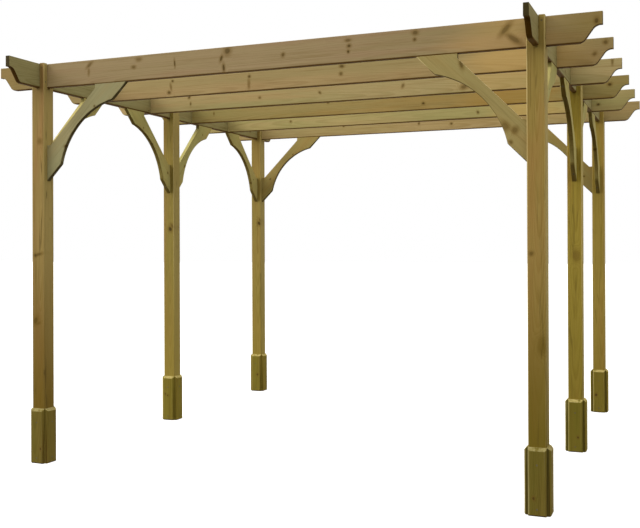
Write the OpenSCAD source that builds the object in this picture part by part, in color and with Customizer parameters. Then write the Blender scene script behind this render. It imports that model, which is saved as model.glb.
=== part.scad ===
// Open wooden pergola: six posts, two side beams, a grid of rafters and curved corner braces.
// The rafters and the side beams lie in one flush layer, and the posts hold them in slotted tops.
// Units are millimetres. +X runs along the rafters, +Y from front to rear, +Z up.
// The origin is on the ground, at the middle of the plan.

/* [Plan] */
// Distance between the centres of the left and the right posts
span_x = 2980; // [2000:10:4000]
// Distance between the centres of the front and the rear posts
span_y = 2980; // [2600:10:4000]
// How far the rafters reach past the centres of the left and right posts
overhang_x = 310; // [200:5:450]
// How far the side beams reach past the centres of the front and rear posts
overhang_y = 310; // [200:5:450]
// Number of rafters, an even number so that the middle posts stand between two of them
rafter_count = 6; // [4:2:8]

/* [Height] */
// Height of the tops of the rafters and side beams above the ground
height = 2420; // [1900:10:2900]
// How far the ears of a post stand above the beams that they hold
ear_proud = 4; // [0:1:20]

/* [Posts] */
// Side of a square post
post_w = 90; // [70:1:150]
// Width of the flat that eases each long corner of a post
post_arris = 4; // [1:0.5:8]

/* [Beams] */
// Depth of a rafter or side beam
beam_d = 145; // [110:1:200]
// Thickness of a rafter, side beam or brace
beam_t = 28; // [20:1:45]
// Height of the upright nose at the end of a beam
nose_h = 62; // [40:1:80]
// Length of the flat under the nose, before the curve starts
nose_flat = 9; // [4:1:20]
// Radius of both curves of the shaped end
ogee_r = 45; // [20:1:55]
// Slope of the straight stretch between the two curves, in degrees
ogee_slope = 54; // [40:1:65]

/* [Braces] */
// Reach of a brace along the beam and down the post
brace_leg = 565; // [420:5:680]
// Width of the board that a brace is cut from
brace_w = 135; // [100:1:160]
// Width of a brace at its narrowest, in the middle of its curve
brace_waist = 58; // [40:1:75]
// Radius of the curved inner edge
brace_arc_r = 480; // [380:5:600]
// Length of the square cut at the back of each end
brace_nib = 25; // [10:1:40]

/* [Feet] */
// Height of the boards around the foot of a post
foot_h = 330; // [150:5:500]
// Thickness of a foot board
foot_t = 20; // [18:1:30]
// Height and depth of the slope at the top of a foot board
foot_slope = 15; // [3:0.5:17]
// Width and depth of the bevel along each upright edge of a foot board
foot_bevel = 8; // [1:0.5:10]

/* [Fits] */
// Play on each side of a beam in the slot of a post
slot_play = 0.5; // [0:0.1:0.8]
// Play on each side of a beam in a halving joint
halving_play = 0.5; // [0:0.1:0.8]

/* [Hidden] */
SIDES = ["left", "right"];
ROWS = ["front", "middle", "rear"];
CORNER_ROWS = [0, 2];
$fn = 64;

POST_COLOR = "#8f7a48";
FOOT_COLOR = "#6f6640";
RAFTER_COLOR = "#b0946a";
SIDE_BEAM_COLOR = "#7f7b52";
BRACE_COLOR = "#8a8258";

// Straight steps along each curve of a shaped beam end
ARC_STEPS = 8;

// What a cut runs past a face, so that no skin is left
over = 1;
post_x = [-span_x / 2, span_x / 2];
post_y = [-span_y / 2, 0, span_y / 2];
beam_bottom = height - beam_d;
halving_z = height - beam_d / 2;
post_top = height + ear_proud;
slot_w = beam_t + 2 * slot_play;
halving_w = beam_t + 2 * halving_play;
rafter_len = span_x + 2 * overhang_x;
side_beam_len = span_y + 2 * overhang_y;
rafter_y = [for (i = [0:rafter_count - 1]) post_y[0] + i * span_y / (rafter_count - 1)];

// Points along an arc between two angles
function arc(centre, r, from, to) = [
    for (i = [0:ARC_STEPS])
        let (angle = from + (to - from) * i / ARC_STEPS)
            centre + r * [cos(angle), sin(angle)]
];

// The shaped end, from the nose inwards: a cove, a straight slope and a round to the underside
ogee_h = beam_d - nose_h;
ogee_straight = (ogee_h - 2 * ogee_r * (1 - cos(ogee_slope))) / sin(ogee_slope);
cove_centre = [nose_flat, ogee_h - ogee_r];
slope_top = cove_centre + ogee_r * [sin(ogee_slope), cos(ogee_slope)];
slope_foot = slope_top + ogee_straight * [cos(ogee_slope), -sin(ogee_slope)];
round_centre = [slope_foot.x + ogee_r * sin(ogee_slope), ogee_r];
ogee = concat(
    [[0, ogee_h]],
    arc(cove_centre, ogee_r, 90, 90 - ogee_slope),
    arc(round_centre, ogee_r, 270 - ogee_slope, 270)
);

// A brace in its own plane: [0, 0] is the corner under the beam, against the post
brace_back = brace_leg - brace_w * sqrt(2);
brace_arc_centre = (brace_back + (brace_arc_r + brace_waist) * sqrt(2)) / 2;

// A beam of the given length along +X from x = 0, standing on z = 0, centred on y = 0
module beam_blank(length) {
    far_end = [for (i = [len(ogee) - 1:-1:0]) [length - ogee[i].x, ogee[i].y]];
    translate([0, beam_t / 2, 0])
        rotate([90, 0, 0])
            linear_extrude(beam_t)
                polygon(concat([[0, beam_d]], ogee, far_end, [[length, beam_d]]));
}

// One slot across the top of a post for a beam that runs along X
module post_slot() {
    translate([-post_w, -slot_w / 2, beam_bottom])
        cube([2 * post_w, slot_w, beam_d + ear_proud + over]);
}

// A post with eased corners. A corner post is slotted both ways, a middle post only front to rear
module post(row, side) {
    flat = post_w / 2 - post_arris;
    face = post_w / 2;
    color(POST_COLOR)
        translate([post_x[side], post_y[row], 0])
            difference() {
                linear_extrude(post_top)
                    polygon([
                        [flat, -face], [face, -flat], [face, flat], [flat, face],
                        [-flat, face], [-face, flat], [-face, -flat], [-flat, -face]
                    ]);
                rotate([0, 0, 90]) post_slot();
                if (row != 1) post_slot();
            }
}

// A foot board on the +Y face of a post, with a sloped top to shed water and bevelled edges
module foot_board() {
    half = post_w / 2;
    translate([0, half, 0])
        intersection() {
            linear_extrude(foot_h)
                polygon([
                    [-half, 0], [half, 0], [half, foot_t - foot_bevel], [half - foot_bevel, foot_t],
                    [foot_bevel - half, foot_t], [-half, foot_t - foot_bevel]
                ]);
            translate([-half, 0, 0])
                rotate([90, 0, 90])
                    linear_extrude(post_w)
                        polygon([
                            [0, 0], [foot_t, 0], [foot_t, foot_h - foot_slope],
                            [foot_t - foot_slope, foot_h], [0, foot_h]
                        ]);
        }
}

// The four boards around one post
module foot_boards(row, side) {
    color(FOOT_COLOR)
        translate([post_x[side], post_y[row], 0])
            for (turn = [0:90:270]) rotate([0, 0, turn]) foot_board();
}

// A side beam from front to rear, halved from above where each rafter crosses
module side_beam(side) {
    color(SIDE_BEAM_COLOR)
        difference() {
            translate([post_x[side], -side_beam_len / 2, beam_bottom])
                rotate([0, 0, 90]) beam_blank(side_beam_len);
            for (y = rafter_y)
                translate([post_x[side] - beam_t, y - halving_w / 2, halving_z])
                    cube([2 * beam_t, halving_w, beam_d]);
        }
}

// A rafter from left to right, halved from below over each side beam
module rafter(index) {
    color(RAFTER_COLOR)
        difference() {
            translate([-rafter_len / 2, rafter_y[index], beam_bottom]) beam_blank(rafter_len);
            for (x = post_x)
                translate([x - halving_w / 2, rafter_y[index] - beam_t, halving_z - beam_d])
                    cube([halving_w, 2 * beam_t, beam_d]);
        }
}

// The outline of a brace: x along the beam away from the post, y up from the beam's underside
module brace_outline() {
    square_end = brace_back - brace_nib;
    difference() {
        polygon([
            [brace_leg, 0], [square_end, 0], [square_end, -brace_nib],
            [brace_nib, -square_end], [0, -square_end], [0, -brace_leg]
        ]);
        translate([brace_arc_centre, -brace_arc_centre]) circle(r = brace_arc_r, $fn = 128);
    }
}

// A brace from the post in a row and side, which reaches away from it at the given turn
module brace(row, side, turn) {
    color(BRACE_COLOR)
        translate([post_x[side], post_y[row], beam_bottom])
            rotate([0, 0, turn])
                translate([post_w / 2, beam_t / 2, 0])
                    rotate([90, 0, 0])
                        linear_extrude(beam_t) brace_outline();
}

for (row = [0:2], side = [0:1]) {
    post(row, side);
    foot_boards(row, side);
}
for (side = [0:1]) {
    side_beam(side);
}
for (i = [1:rafter_count]) {
    rafter(i - 1);
}
for (row = CORNER_ROWS, side = [0:1]) {
    inwards = 180 * side;
    brace(row, side, inwards);
}
for (side = [0:1]) {
    brace(0, side, 90);
    brace(1, side, -90);
    brace(1, side, 90);
    brace(2, side, -90);
}
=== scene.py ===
"""A wooden pergola in pressure-treated softwood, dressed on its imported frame.

The frame gives every place and most sizes. Each timber is rebuilt with eased arrises and gets
its own cut of wood: rings about a distant pith, streaks, knots, drying checks and the green
cast that pressure treatment leaves. Lengths are in metres, and MM turns millimetres to metres.
"""

import logging
import math
import random
from collections.abc import Iterable
from dataclasses import dataclass, field, replace
from enum import Enum
from typing import Any

import bmesh
import bpy
from mathutils import Euler, Matrix, Vector


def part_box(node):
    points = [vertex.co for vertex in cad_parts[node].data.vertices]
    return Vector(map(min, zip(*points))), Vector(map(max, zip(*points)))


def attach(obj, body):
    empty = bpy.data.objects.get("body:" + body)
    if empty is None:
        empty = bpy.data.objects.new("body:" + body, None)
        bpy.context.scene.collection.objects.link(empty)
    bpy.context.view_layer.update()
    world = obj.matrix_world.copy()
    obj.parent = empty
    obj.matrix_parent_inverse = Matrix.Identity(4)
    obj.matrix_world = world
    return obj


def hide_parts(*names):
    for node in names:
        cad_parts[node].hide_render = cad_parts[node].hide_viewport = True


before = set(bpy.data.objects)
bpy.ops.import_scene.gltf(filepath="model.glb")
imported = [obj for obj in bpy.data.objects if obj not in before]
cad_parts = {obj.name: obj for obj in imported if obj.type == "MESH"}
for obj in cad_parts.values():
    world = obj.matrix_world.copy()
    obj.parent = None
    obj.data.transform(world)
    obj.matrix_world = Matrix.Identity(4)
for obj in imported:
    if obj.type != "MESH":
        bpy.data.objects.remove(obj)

MM = 0.001
HAIR = 0.01 * MM
SLACK = 0.1 * MM
BODY = "root"
ARRIS = "arris"
RECESS = "recess"
LOG = logging.getLogger("pergola")
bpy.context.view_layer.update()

LEFTWARD = Vector((-1.0, 0.0, 0.0))
RIGHTWARD = Vector((1.0, 0.0, 0.0))
FORWARD = Vector((0.0, -1.0, 0.0))
REARWARD = Vector((0.0, 1.0, 0.0))
UP = Vector((0.0, 0.0, 1.0))
DOWN = Vector((0.0, 0.0, -1.0))

Socket = bpy.types.NodeSocket
BMesh = bmesh.types.BMesh
BMVert = bmesh.types.BMVert
BMEdge = bmesh.types.BMEdge
BMFace = bmesh.types.BMFace
Point = tuple[float, float]
Triple = tuple[float, float, float]


class Row(Enum):
    """A row of posts, named as the frame names it."""

    FRONT = "front"
    MIDDLE = "middle"
    REAR = "rear"


class Side(Enum):
    """A side of the pergola, named as the frame names it."""

    LEFT = "left"
    RIGHT = "right"


class Slot(Enum):
    """The name of a material slot; here it only tells a rafter from a side beam."""

    POST = "post_timber"
    FOOT = "foot_board"
    SIDE_BEAM = "side_beam_timber"
    RAFTER = "rafter_timber"
    BRACE = "brace_timber"
    SCREW = "screw"


@dataclass(frozen=True)
class Station:
    """The place of one post."""

    row: Row
    side: Side

    @property
    def name(self) -> str:
        """The place's name in the frame."""
        return f"{self.row.value}_{self.side.value}"


STATIONS = [Station(row, side) for row in Row for side in Side]


def middle_of(node: str) -> Vector:
    """The middle of a node's box."""
    low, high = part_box(node)
    return (low + high) / 2


def foot_of(node: str) -> Vector:
    """The point of the floor below the middle of a node's box."""
    middle = middle_of(node)
    return Vector((middle.x, middle.y, 0.0))


def linear(hex_code: str) -> tuple[float, float, float, float]:
    """Turn an sRGB hex colour into the linear colour that shaders use.

    Args:
        hex_code: The colour as "#rrggbb".

    Returns:
        Linear red, green and blue, with an alpha of 1.
    """
    parts = [int(hex_code[i : i + 2], 16) / 255 for i in (1, 3, 5)]
    red, green, blue = (p / 12.92 if p <= 0.04045 else ((p + 0.055) / 1.055) ** 2.4 for p in parts)
    return red, green, blue, 1.0


class Graph:
    """The node tree of a material or a world, in the making."""

    def __init__(self, owner: bpy.types.Material | bpy.types.World) -> None:
        """Give a material or a world an empty tree.

        Args:
            owner: The material or world.
        """
        self.owner = owner
        owner.use_nodes = True
        self.tree = owner.node_tree
        self.tree.nodes.clear()

    def add(
        self,
        kind: str,
        *values: Any,
        out: int | str = 0,
        named: dict[int | str, Any] | None = None,
        **settings: Any,
    ) -> Socket:
        """Add a node, set it up and fill its inputs.

        Args:
            kind: The node's type, without its "ShaderNode" prefix.
            *values: Sockets to link or values to set, for the node's first inputs in order.
            out: The name or number of the output to return.
            named: Sockets or values for other inputs, by name or number.
            **settings: Attributes of the node.

        Returns:
            The chosen output socket.
        """
        node = self.tree.nodes.new(f"ShaderNode{kind}")
        for name, value in settings.items():
            setattr(node, name, value)
        for key, value in {**dict(enumerate(values)), **(named or {})}.items():
            if isinstance(value, Socket):
                self.tree.links.new(value, node.inputs[key])
            else:
                node.inputs[key].default_value = value
        return node.outputs[out]

    def seen(self) -> Socket:
        """Tell apart the rays that show a thing to the eye, straight or in a gloss or glass.

        Returns:
            1 for such rays and 0 for all others.
        """
        path = self.add("LightPath").node.outputs
        mirror = self.add("Math", path["Is Glossy Ray"], path["Is Transmission Ray"], operation="MAXIMUM")
        return self.add("Math", path["Is Camera Ray"], mirror, operation="MAXIMUM")

    def end(self, shader: Socket, kind: str = "OutputMaterial") -> None:
        """End the tree in an output of the given kind."""
        output = self.tree.nodes.new(f"ShaderNode{kind}")
        self.tree.links.new(shader, output.inputs["Surface"])


@dataclass(frozen=True)
class Placement:
    """Where a timber's own axes lie: x along it, y through it, z across it."""

    origin: Triple
    turn: Triple = (0.0, 0.0, 0.0)

    @property
    def euler(self) -> Euler:
        """The turn, given in degrees, as an Euler."""
        return Euler([math.radians(angle) for angle in self.turn])

    @property
    def matrix(self) -> Matrix:
        """The matrix from the timber's own axes to the frame's."""
        return Matrix.Translation(self.origin) @ self.euler.to_matrix().to_4x4()


class Through(Enum):
    """The board's own axis that a knot runs along."""

    THICKNESS = 1
    WIDTH = 2


@dataclass(frozen=True)
class Knot:
    """A knot that runs through a board, in millimetres of the board's own axes.

    Its outline is an ellipse: stretch is its length along the fibres over its width, before
    tilt lifts its far end, in degrees. Core is how dark it is, from 0 to 1.
    """

    along: float
    across: float
    radius: float
    stretch: float = 1.25
    tilt: float = 0.0
    core: float = 0.8
    through: Through = Through.THICKNESS


def scatter_knots(
    seed: int, span: Point, width: Point, gap: float, ways: tuple[Through, ...] = (Through.THICKNESS,)
) -> list[Knot]:
    """Choose knots for a board: whorls of one or two, spaced unevenly along it.

    Args:
        seed: Fixes the choice.
        span: First and last place along the board, in millimetres.
        width: Lowest and highest place across the board, in millimetres.
        gap: Mean distance between whorls, in millimetres.
        ways: The axes that the knots may run along.

    Returns:
        The knots, in order along the board.
    """
    chance = random.Random(seed)
    knots = []
    along = span[0] + gap * chance.uniform(0.3, 0.9)
    while along < span[1]:
        for _ in range(chance.choice((1, 1, 2))):
            knots.append(
                Knot(
                    along=along + chance.uniform(-12, 12),
                    across=chance.uniform(*width),
                    radius=chance.choice((3.5, 4.5, 5.5, 7.0)),
                    stretch=chance.uniform(0.8, 1.6),
                    tilt=chance.uniform(-25, 25),
                    core=chance.uniform(0.45, 0.8),
                    through=chance.choice(ways),
                )
            )
        along += gap * chance.uniform(0.6, 1.5)
    return knots


@dataclass(frozen=True)
class Tones:
    """The colours of clear wood, from the palest earlywood to the darkest streaks."""

    early: str
    late: str
    cast: str
    warm: str
    streak: str


@dataclass(frozen=True)
class TreatedSoftwood:
    """Planed pine, pressure-treated with a copper preservative.

    The treatment leaves an uneven green to olive cast over pale earlywood and darker latewood
    rings, which show on the flat faces as long streaks and arches. Cut ends drink more of it and
    are dark. The planed face is matt, and its arrises are rubbed paler, with a painted highlight
    where they face up or away from the right. Undersides get painted shade, and some woods paint
    the right-hand faces greener for the cool light from the right. A share is how strongly its
    layer shows, from 0 to 1, and the pith is given in millimetres from the board.
    """

    name: str
    tones: Tones
    ring_mm: float = 5.5
    ring_share: float = 0.5
    pith: Point = (45.0, 60.0)
    wander: float = 45 * MM
    taper: float = 0.035
    cast_share: float = 0.5
    warm_share: float = 0.4
    streak_share: float = 0.4
    fibre_share: float = 0.4
    knot: str = "#3c2e0e"
    knot_bend: float = 0.4
    knot_fade: float = 0.82
    halo: str = "#69501e"
    halo_share: float = 0.6
    amber: str = "#c29e5a"
    amber_at: float = 3.0
    amber_share: float = 0.0
    soak: str = "#5e4e22"
    soak_reach: float = 0.38
    soak_share: float = 0.2
    # Painted light: a greener, greyer tint on the faces that turn right.
    right_face_light: str = "#9f8e56"
    right_face_light_share: float = 0.0
    damp: str = "#5a4808"
    damp_low: float = 0.2
    damp_high: float = 1.5
    damp_share: float = 0.0
    check_share: float = 0.0
    end: str = "#3a3012"
    end_share: float = 0.8
    # The arrises' colour, rubbed pale and carrying a painted highlight where light falls.
    worn: str = "#b8a878"
    worn_share: float = 0.1
    # Painted shade on the undersides, and in a band along the lower edge.
    drip: str = "#4a3000"
    drip_share: float = 0.95
    drip_line: float = 0.0
    drip_line_share: float = 0.95
    recess_share: float = 0.0
    roughness: float = 0.76

    def toned(self, tones: str, **changes: Any) -> "TreatedSoftwood":
        """This wood with other changes, and with other tones, five hex codes in Tones' order."""
        return replace(self, tones=Tones(*tones.split()), **changes)

    def dress(
        self, piece: str, grain: Placement, length: float, knots: Iterable[Knot], seed: int
    ) -> bpy.types.Material:
        """Make this wood for one board.

        Args:
            piece: The board's name.
            grain: The board's own axes, with x along the fibres.
            length: The board's length, from x = 0, or 0 where its ends don't show.
            knots: The knots that show on it.
            seed: Picks the board's place in the log.

        Returns:
            The material.
        """
        cut = BoardGrain(self, piece, grain, seed)
        cut.rings(knots)
        cut.clear_wood()
        if self.amber_share:
            cut.heartwood()
        if length:
            cut.soak_ends(length)
        cut.stain_knots()
        if self.right_face_light_share:
            cut.paint_right_face_light()
        if self.damp_share:
            cut.dampen()
        cut.open_checks()
        cut.seal_ends()
        cut.pale_and_highlight_arrises()
        cut.drip()
        if self.recess_share:
            cut.shade_recess()
        cut.surface()
        return cut.owner


class BoardGrain(Graph):
    """One board's cut of a treated softwood, laid up in its material layer by layer."""

    def __init__(self, wood: TreatedSoftwood, piece: str, grain: Placement, seed: int) -> None:
        """Find the board's own coordinates and draw the noises that its layers share.

        Args:
            wood: The wood.
            piece: The board's name.
            grain: The board's own axes, with x along the fibres.
            seed: Picks the board's place in the log.
        """
        super().__init__(bpy.data.materials.new(f"{wood.name}_{piece}"))
        self.wood = wood
        self.grain = grain
        self.seed = seed
        given = self.add("TexCoord").node.outputs
        self.place = given["Object"]
        self.board = self.add("Mapping", self.place, grain.origin, grain.euler, vector_type="TEXTURE")
        self.along = self.add("SeparateXYZ", self.board, out="X")
        self.facing = given["Normal"]
        self.right = self.add("SeparateXYZ", self.facing, out="X")
        self.up = self.add("SeparateXYZ", self.facing, out="Z")
        # Fibre bundles are about 0.3 mm wide: they are drawn eight times as wide, to show.
        self.fibres = self._noise(110, 2.4, 23.5, 3.0)
        self.streaks = self._noise(385, 12, 11.5, 4.0)
        self.patches = self._noise(1100, 110, 37.5, 2.0)
        self.blush = self._noise(770, 70, 51.5, 2.0)
        self.nearest: Socket | float = 0.0
        self.core: Socket | float = 0.0
        self.colour: Socket | tuple[float, ...] = linear(wood.tones.early)

    def _noise(self, length_mm: float, width_mm: float, offset: float, detail: float) -> Socket:
        """Noise drawn out along the fibres.

        Args:
            length_mm: The length of one feature, along the fibres.
            width_mm: The width of one feature.
            offset: Sets the pattern apart from the board's others.
            detail: Octaves of finer noise.

        Returns:
            The noise, about 0 to 1.
        """
        along, across = 1 / (length_mm * MM), 1 / (width_mm * MM)
        stretched = self.add("VectorMath", self.board, (along, across, across), operation="MULTIPLY")
        pattern = {"W": self.seed + offset, "Scale": 1.0, "Detail": detail, "Roughness": 0.55}
        return self.add("TexNoise", stretched, named=pattern, noise_dimensions="4D")

    def _mask(self, value: Socket | float, low: float, high: float, share: float) -> Socket:
        """Where a value goes from low to high, as a share from 0 up to the given one."""
        return self.add("MapRange", value, low, high, 0.0, share, interpolation_type="SMOOTHSTEP")

    def _ragged(self, value: Socket, reach: float) -> Socket:
        """A value pushed up or down in patches, by up to half the reach."""
        centred = self.add("Math", self.patches, 0.5, operation="SUBTRACT")
        return self.add("Math", centred, reach, value, operation="MULTIPLY_ADD")

    def _tint(self, hex_code: str, share: Socket | float) -> None:
        """Mix the colour laid so far towards another by a share."""
        mixed = {0: share, 6: self.colour, 7: linear(hex_code)}
        self.colour = self.add("Mix", named=mixed, out=2, data_type="RGBA")

    def rings(self, knots: Iterable[Knot]) -> None:
        """Count growth rings out from the pith, bent around the knots.

        Args:
            knots: The knots that bend the rings.
        """
        wood, chance = self.wood, random.Random(self.seed)
        # The trunk wanders over about a metre along its fibres, and over 250 mm across them.
        slow = self.add("VectorMath", self.board, (1.1, 4.0, 4.0), operation="MULTIPLY")
        pattern = {"W": float(self.seed), "Scale": 1.0, "Detail": 1.5}
        wander = self.add("TexNoise", slow, named=pattern, out="Color", noise_dimensions="4D")
        shift = self.add("VectorMath", wander, (0.0, wood.wander, wood.wander), operation="MULTIPLY")
        bent = self.add("VectorMath", self.board, shift, operation="ADD")
        # The trunk's taper is centred somewhere along the board, with the pith off to one side.
        side = chance.choice((-1, 1))
        pith = (
            chance.uniform(0.4, 2.6),
            side * wood.pith[0] * MM * chance.uniform(0.7, 1.2),
            wood.pith[1] * MM * chance.uniform(0.4, 1.6),
        )
        from_pith = self.add("VectorMath", bent, pith, operation="SUBTRACT")
        tapered = self.add("VectorMath", from_pith, (wood.taper, 1.0, 1.0), operation="MULTIPLY")
        radius = self.add("VectorMath", tapered, out="Value", operation="LENGTH")
        phase = self.add("Math", radius, wood.ring_mm * MM, operation="DIVIDE")
        ragged = self.add("Math", self._noise(22, 13, 3.5, 2.0), 0.55, operation="ADD")
        for knot in knots:
            swell = self._swell(knot, ragged)
            phase = self.add("Math", swell, wood.knot_bend * knot.radius, phase, operation="MULTIPLY_ADD")
            self.nearest = self.add("Math", self.nearest, swell, operation="MAXIMUM")
            heart = self._mask(swell, 0.74, 0.9, knot.core)
            self.core = self.add("Math", self.core, heart, operation="MAXIMUM")
        self.late = self._latewood(phase)

    def _swell(self, knot: Knot, ragged: Socket) -> Socket:
        """How near one knot is.

        Args:
            knot: The knot.
            ragged: A noise of about 1 that roughens the knot's outline.

        Returns:
            The nearness, from 1 at the knot's centre down to 0.
        """
        tilt = math.radians(knot.tilt)
        if knot.through is Through.THICKNESS:
            centre, turn = (knot.along * MM, 0.0, knot.across * MM), (0.0, -tilt, 0.0)
        else:
            centre, turn = (knot.along * MM, knot.across * MM, 0.0), (0.0, 0.0, tilt)
        own = self.add("Mapping", self.board, centre, turn, vector_type="TEXTURE")
        width = 1 / (knot.radius * MM)
        scale = [width / knot.stretch, width, width]
        scale[knot.through.value] = 0.0
        scaled = self.add("VectorMath", own, scale, operation="MULTIPLY")
        square = self.add("VectorMath", scaled, scaled, out="Value", operation="DOT_PRODUCT")
        square = self.add("Math", square, ragged, operation="MULTIPLY")
        return self.add("Math", self.wood.knot_fade, square, operation="POWER")

    def _latewood(self, phase: Socket) -> Socket:
        """Draw the dark outer part of each ring, which ends in a crisp edge.

        Args:
            phase: The number of rings from the pith.

        Returns:
            How dark the ring is here, from 0 to 1.
        """
        ring = self.add("Math", phase, operation="FRACT")
        rise = self._mask(ring, 0.25, 0.85, 1.0)
        fall = self._mask(ring, 1.0, 0.88, 1.0)
        band = self.add("Math", rise, fall, operation="MULTIPLY")
        number = self.add("Math", phase, operation="FLOOR")
        pick = self.add("TexWhiteNoise", named={"W": number}, noise_dimensions="1D")
        weight = self.add("MapRange", pick, 0.0, 1.0, 0.3, 1.0)
        return self.add("Math", band, weight, operation="MULTIPLY")

    def clear_wood(self) -> None:
        """Lay the rings, the green cast, the warm patches, the dark streaks and the fibres."""
        wood, tones = self.wood, self.wood.tones
        self._tint(tones.late, self.add("Math", self.late, wood.ring_share, operation="MULTIPLY"))
        self._tint(tones.cast, self._mask(self.patches, 0.38, 0.68, wood.cast_share))
        self._tint(tones.warm, self._mask(self.blush, 0.42, 0.72, wood.warm_share))
        self._tint(tones.streak, self._mask(self.streaks, 0.5, 0.78, wood.streak_share))
        self._tint(tones.late, self._mask(self.fibres, 0.5, 0.74, wood.fibre_share))

    def heartwood(self) -> None:
        """Warm one stretch of the board, where heartwood kept the green treatment out."""
        away = self.add("Math", self.along, self.wood.amber_at, operation="SUBTRACT")
        away = self.add("Math", away, operation="ABSOLUTE")
        stretch = self._mask(self._ragged(away, 0.6), 0.42, 0.08, self.wood.amber_share)
        self._tint(self.wood.amber, stretch)

    def soak_ends(self, length: float) -> None:
        """Deepen the colour towards the cut ends, where more of the treatment soaked in.

        Args:
            length: The board's length, from x = 0.
        """
        other = self.add("Math", length, self.along, operation="SUBTRACT")
        inward = self.add("Math", self.along, other, operation="MINIMUM")
        soaked = self._mask(self._ragged(inward, 0.5), self.wood.soak_reach, 0.05, self.wood.soak_share)
        self._tint(self.wood.soak, soaked)

    def stain_knots(self) -> None:
        """Stain the wood around each knot, then lay the knot on it."""
        self._tint(self.wood.halo, self._mask(self.nearest, 0.12, 0.9, self.wood.halo_share))
        self._tint(self.wood.knot, self.core)

    def paint_right_face_light(self) -> None:
        """Tint the right-hand faces greener and greyer: painted light, standing in for a cool light from the
        right.
        """
        # Painted light: faces that turn right take the cool tint.
        self._tint(self.wood.right_face_light, self._mask(self.right, 0.5, 0.85, self.wood.right_face_light_share))

    def dampen(self) -> None:
        """Darken the wood towards the ground, where it stays damp."""
        wood = self.wood
        height = self._ragged(self.add("SeparateXYZ", self.place, out="Z"), 0.8)
        self._tint(wood.damp, self._mask(height, wood.damp_high, wood.damp_low, wood.damp_share))

    def open_checks(self) -> None:
        """Open hairline drying cracks along the fibres, in patches, drawn 1.5 mm wide to show."""
        contour = self.add("Math", self._noise(1400, 45, 67.5, 2.0), 0.5, operation="SUBTRACT")
        contour = self.add("Math", contour, operation="ABSOLUTE")
        line = self._mask(contour, 0.012, 0.004, self.wood.check_share)
        where = self._mask(self.blush, 0.54, 0.5, 1.0)
        self.checks = self.add("Math", line, where, operation="MULTIPLY")
        self._tint(self.wood.knot, self.checks)

    def seal_ends(self) -> None:
        """Darken the faces where the saw cut across the fibres."""
        own = {"Rotation": self.grain.euler}
        facing = self.add("Mapping", self.facing, named=own, vector_type="TEXTURE")
        squarely = self.add("Math", self.add("SeparateXYZ", facing, out="X"), operation="ABSOLUTE")
        self._tint(self.wood.end, self._mask(squarely, 0.25, 0.8, self.wood.end_share))

    def pale_and_highlight_arrises(self) -> None:
        """Pale the eased arrises in an uneven line, rubbed pale and painted with a highlight where they face
        up or away from the right, never down.
        """
        arris = self.add("Attribute", attribute_name=ARRIS, out="Fac")
        worn = self._mask(self.streaks, 0.3, 0.6, self.wood.worn_share)
        # Painted highlight: the pale arris shows only where it doesn't face down and where it faces up or
        # away from the right, towards the lamps and the sky.
        sky_lit = self._mask(self.up, -0.2, 0.0, 1.0)
        key_lit_side = self._mask(self.right, 0.5, 0.05, 1.0)
        from_above = self._mask(self.up, 0.1, 0.35, 1.0)
        lit_arris = self.add("Math", key_lit_side, from_above, operation="MAXIMUM")
        for share in (arris, sky_lit, lit_arris):
            worn = self.add("Math", worn, share, operation="MULTIPLY")
        self._tint(self.wood.worn, worn)

    def drip(self) -> None:
        """Paint shade on the underside and its lower arris, and, with a line set, in a band along the face's
        lower edge.
        """
        wood = self.wood
        # Painted shade: faces that turn down are darkened, and so is a band along the lower edge when a line
        # is set.
        dark = self._mask(self.up, -0.05, -0.45, wood.drip_share)
        if wood.drip_line:
            across = self.add("SeparateXYZ", self.board, out="Z")
            uneven = self.add("Math", self.patches, -2 * wood.drip_line, across, operation="MULTIPLY_ADD")
            line = self._mask(uneven, 0.6 * wood.drip_line, -0.3 * wood.drip_line, wood.drip_line_share)
            dark = self.add("Math", dark, line, operation="MAXIMUM")
        self._tint(wood.drip, dark)

    def shade_recess(self) -> None:
        """Darken the faces that lie back in a recess."""
        recess = self.add("Attribute", attribute_name=RECESS, out="Fac")
        self._tint(self.wood.end, self._mask(recess, 0.0, 1.0, self.wood.recess_share))

    def surface(self) -> None:
        """Join colour, sheen and relief in the shader."""
        relief = self.add("Math", self.late, 0.5, self.fibres, operation="MULTIPLY_ADD")
        relief = self.add("Math", self.streaks, 0.5, relief, operation="MULTIPLY_ADD")
        relief = self.add("Math", relief, self._mask(self.nearest, 0.6, 0.95, 0.8), operation="ADD")
        relief = self.add("Math", self.checks, -3.0, relief, operation="MULTIPLY_ADD")
        bump = self.add("Bump", named={"Strength": 0.45, "Distance": 0.6 * MM, "Height": relief})
        smooth, coarse = self.wood.roughness - 0.1, self.wood.roughness + 0.14
        rough = self.add("MapRange", self.streaks, 0.0, 1.0, smooth, coarse)
        sheen = {"Roughness": rough, "Normal": bump, "IOR": 1.45, "Specular IOR Level": 0.1}
        self.end(self.add("BsdfPrincipled", named={"Base Color": self.colour, **sheen}))


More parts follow.
